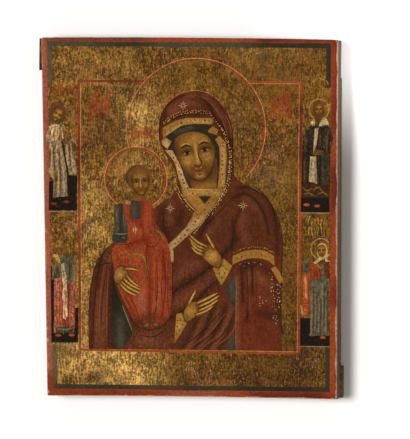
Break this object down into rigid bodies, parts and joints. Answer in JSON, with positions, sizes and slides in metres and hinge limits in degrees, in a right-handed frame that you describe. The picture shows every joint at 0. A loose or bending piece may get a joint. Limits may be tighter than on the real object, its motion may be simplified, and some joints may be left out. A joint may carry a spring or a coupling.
{
  "type": "painted icon panel",
  "caption": "Painted wooden icon panel with a gesso front, a gilded ground with veiled mother-and-child figures, and battens let into its back.",
  "frame": {"origin": "centre of the bounding box, on the surface that the panel lies on, which is the plane of the two battens' backs", "axes": "+Z out of the painted face, +Y towards the picture's top edge, +X towards the picture's right edge"},
  "size_m": [0.3116, 0.36, 0.0305],
  "materials": {
    "board_wood": "bare aged wood, darkened and handled",
    "painted_gesso": "tempera and gilding on gesso under darkened varnish, fine vertical cracks",
    "batten_wood": "bare aged wood, darker than the board"
  },
  "bodies": {
    "root": {"board": "board_wood", "painted_gesso": "painted_gesso", "top_batten": "batten_wood", "bottom_batten": "batten_wood"}
  },
  "joints": []
}
